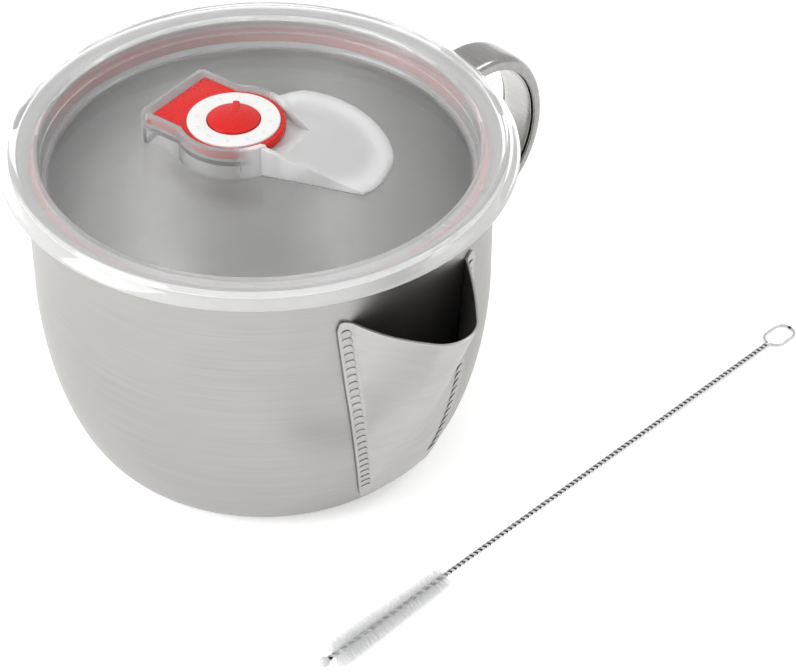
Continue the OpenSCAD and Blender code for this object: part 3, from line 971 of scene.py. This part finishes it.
def knob():
    """Shallow domed button with a raised pointer, on a spindle through the flap."""
    seat = flap_high + 0.05
    edge = seat + 0.9
    painted_groove_shade = 1.1
    dome_r = (knob_r ** 2 + painted_groove_shade ** 2) / (2 * painted_groove_shade)
    rim_angle = math.degrees(math.asin((knob_r - 0.35) / dome_r))
    dome = arc(0, edge + painted_groove_shade - dome_r, dome_r, 90 - rim_angle, 90, 14)
    outline = [(0, seat), (knob_r - 0.3, seat)] + arc(knob_r - 0.3, seat + 0.3, 0.3, -60, 0, 3)
    outline += arc(knob_r - 0.4, edge - 0.25, 0.4, 0, 75, 4) + dome
    button = turned("dial_button", outline, 96)
    pointer = block("pointer", tongue(1.1, 1.09, 5.4, 0.7), seat, seat + 2)
    soften(pointer, 0.4, 3, 50)
    settle(pointer, Matrix.Rotation(math.radians(pointer_degrees - 90), 4, "Z"))
    pointer_turn = math.radians(pointer_degrees)
    shift = pointer_reach * MM
    settle(pointer, Matrix.Translation((shift * math.cos(pointer_turn), shift * math.sin(pointer_turn), 0)))
    combine(button, pointer, "UNION")
    deselect()
    bpy.ops.mesh.primitive_cylinder_add(
        vertices=40, radius=2.5 * MM, depth=(seat - flap_low - 0.4) * MM,
        location=(0, 0, (seat + flap_low + 0.7) / 2 * MM),
    )
    combine(button, added("spindle"), "UNION")
    settle(button, vent_place)
    smooth(button, 35)
    return finish_piece(button, red_plastic, "knob", ["dial_knob"])


# ------------------------------------------------------------------------ brush

def twist_at(x):
    """Angle of the twist: slow among the bristles, tighter along the bare stem."""
    loose = min(x, bristle_end) / loose_turn
    tight = max(x - bristle_end, 0) / tight_turn
    return TURN * (loose + tight)


def arc_angles(start, end, steps):
    return [math.radians(start + (end - start) * i / steps) for i in range(steps + 1)]


def brush_wire():
    """One wire, folded at the eye, with its two halves twisted round each other."""
    start, end, step = 2.4, eye_start - 0.6, 0.25
    count = int((end - start) / step)
    stations = [start + (end - start) * i / count for i in range(count + 1)]
    half = [Vector((x, wire_r * math.cos(twist_at(x)), wire_r * math.sin(twist_at(x)))) for x in stations]
    other = [Vector((p.x, -p.y, -p.z)) for p in half]
    mid = eye_start + eye_r + wire_r
    first_y = math.copysign(1, half[-1].y)
    near = [(mid + eye_r * math.cos(a), eye_r * math.sin(a)) for a in arc_angles(165, 90, 12)]
    far = [(mid + eye_straight + eye_r * math.cos(a), eye_r * math.sin(a)) for a in arc_angles(90, -90, 28)]
    back = [(x, -y) for x, y in near[::-1]]
    loop = [Vector((x, first_y * y, 0)) for x, y in near + far + back]
    path = half + loop + other[::-1]
    curve = bpy.data.curves.new("brush_wire", "CURVE")
    curve.dimensions = "3D"
    curve.bevel_depth = wire_r * MM
    curve.bevel_resolution = 2
    curve.use_fill_caps = True
    line = curve.splines.new("POLY")
    line.points.add(len(path) - 1)
    for point, place in zip(line.points, path):
        point.co = (*(place * MM), 1)
    wire = bpy.data.objects.new("brush_wire", curve)
    bpy.context.collection.objects.link(wire)
    pick(wire)
    bpy.ops.object.convert(target="MESH")
    wire = added("twisted_wire")
    settle(wire, brush_place)
    smooth(wire, 60)
    return finish_piece(wire, wire_steel, "brush", ["brush_stem", "brush_eye"])


def bristles():
    """Filaments pinched between the two wires, fanned round by the twist and cut to a taper."""
    dice = random.Random(7)
    step = (bristle_end - bristle_start) / filaments_per_group
    shrink = (bristle_end_r / bristle_r) ** (1 / filaments_per_group)
    groups = []
    for i in range(filament_groups):
        guide = bpy.data.objects.new("guide", None)
        bpy.context.collection.objects.link(guide)
        guide.matrix_world = (
            Matrix.Translation((step * MM, 0, 0))
            @ Matrix.Rotation(TURN * (fan_share + dice.uniform(-0.02, 0.02)), 4, "X")
            @ Matrix.Diagonal((1, shrink, shrink, 1))
        )
        deselect()
        bpy.ops.mesh.primitive_cylinder_add(
            vertices=3, radius=filament_r * MM, depth=2 * (bristle_r - dice.uniform(0.0, 0.12)) * MM
        )
        strand = added("strand")
        edit(strand)
        bpy.ops.mesh.bisect(plane_co=(0, 0, 0), plane_no=(0, 0, 1))
        leave()
        strand.matrix_world = (
            Matrix.Rotation(math.radians(i * 9 + dice.uniform(-4, 4)), 4, "X")
            @ Matrix.Rotation(math.radians(dice.uniform(-3, 3)), 4, "Y")
        )
        settle(strand)
        groups.append(strand)
        modify(
            strand, "ARRAY", count=filaments_per_group, use_relative_offset=False,
            use_object_offset=True, offset_object=guide,
        )
        bpy.data.objects.remove(guide)
        along = bristle_start + 0.2 + dice.uniform(0, step) * 0.5
        strand.matrix_world = Matrix.Translation((along * MM, 0, 0))
    tuft = join("bristle_tuft", groups)
    settle(tuft, brush_place)
    return finish_piece(tuft, nylon, "brush", ["brush_bristles"])


def bead():
    """Ball on the tip, with a short neck where the wire enters it."""
    outline = arc(0, bead_r, bead_r, -90, 62, 14) + [(0.8, 2 * bead_r - 0.2), (0, 2 * bead_r - 0.2)]
    ball = turned("tip_bead", outline, 32)
    settle(ball, brush_place @ Matrix.Rotation(math.pi / 2, 4, "Y"))
    smooth(ball, 40)
    return finish_piece(ball, bead_plastic, "brush", ["brush_bead"])


pot()
spout()
weld_seam(-1, "left_weld_nuggets", "left_weld_seam")
weld_seam(1, "right_weld_nuggets", "right_weld_seam")
handle()
lid()
flange_marks()
seal()
flap()
plug()
ring()
knob()
brush_wire()
bristles()
bead()


# ---------------------------------------------------------------- floor and light

def floor():
    deselect()
    bpy.ops.mesh.primitive_plane_add(size=8, location=(0, 0, pot_low.z))
    ground = added("floor")
    material, nodes, links = blank("pale_floor")
    shader = surface(
        nodes, Specular_IOR_Level=0.1, Roughness=0.9, Emission_Color=(1, 1, 1, 1), Emission_Strength=0.34
    )
    tint = tinted(nodes, links, pattern(nodes, links, 3.0), (0.93, 0.93, 0.93), (0.95, 0.95, 0.95))
    links.new(tint, shader.inputs["Base Color"])
    ground.data.materials.append(material)


def lamp(name, place, aim, size, power):
    light = bpy.data.lights.new(name, "AREA")
    light.shape = "RECTANGLE"
    light.size, light.size_y = size
    light.energy = power
    obj = bpy.data.objects.new(name, light)
    bpy.context.collection.objects.link(obj)
    obj.location = place
    obj.rotation_euler = (Vector(aim) - Vector(place)).to_track_quat("-Z", "Y").to_euler()


def sky():
    world = bpy.data.worlds.new("studio")
    bpy.context.scene.world = world
    world.use_nodes = True
    world.node_tree.nodes["Background"].inputs["Color"].default_value = (1, 1, 1, 1)
    world.node_tree.nodes["Background"].inputs["Strength"].default_value = 0.9


def camera():
    """Long lens from in front and above, rolled by about half a degree."""
    place = Vector((-0.3924, -0.4945, 0.5526))
    forward = Vector((0.5160, 0.5689, -0.6402)).normalized()
    right = forward.cross(Vector((0, 0, 1))).normalized()
    up = right.cross(forward)
    roll = 0.009
    level = right * math.cos(roll) + up * math.sin(roll)
    upward = up * math.cos(roll) - right * math.sin(roll)
    data = bpy.data.cameras.new("camera")
    data.lens = 117.6
    data.sensor_width = 36
    data.clip_start = 0.01
    eye = bpy.data.objects.new("camera", data)
    bpy.context.collection.objects.link(eye)
    eye.matrix_world = Matrix((
        (level.x, upward.x, -forward.x, place.x),
        (level.y, upward.y, -forward.y, place.y),
        (level.z, upward.z, -forward.z, place.z),
        (0, 0, 0, 1),
    ))
    bpy.context.scene.camera = eye


floor()
sky()
lamp("left_softbox", (-0.9, 0.3, 0.6), (0, 0, 0.05), (0.6, 0.9), 8.5)
lamp("right_softbox", (0.8, -0.5, 1.1), (0, 0, 0.05), (0.5, 0.5), 2.5)
camera()
bpy.context.scene.view_settings.view_transform = "Standard"
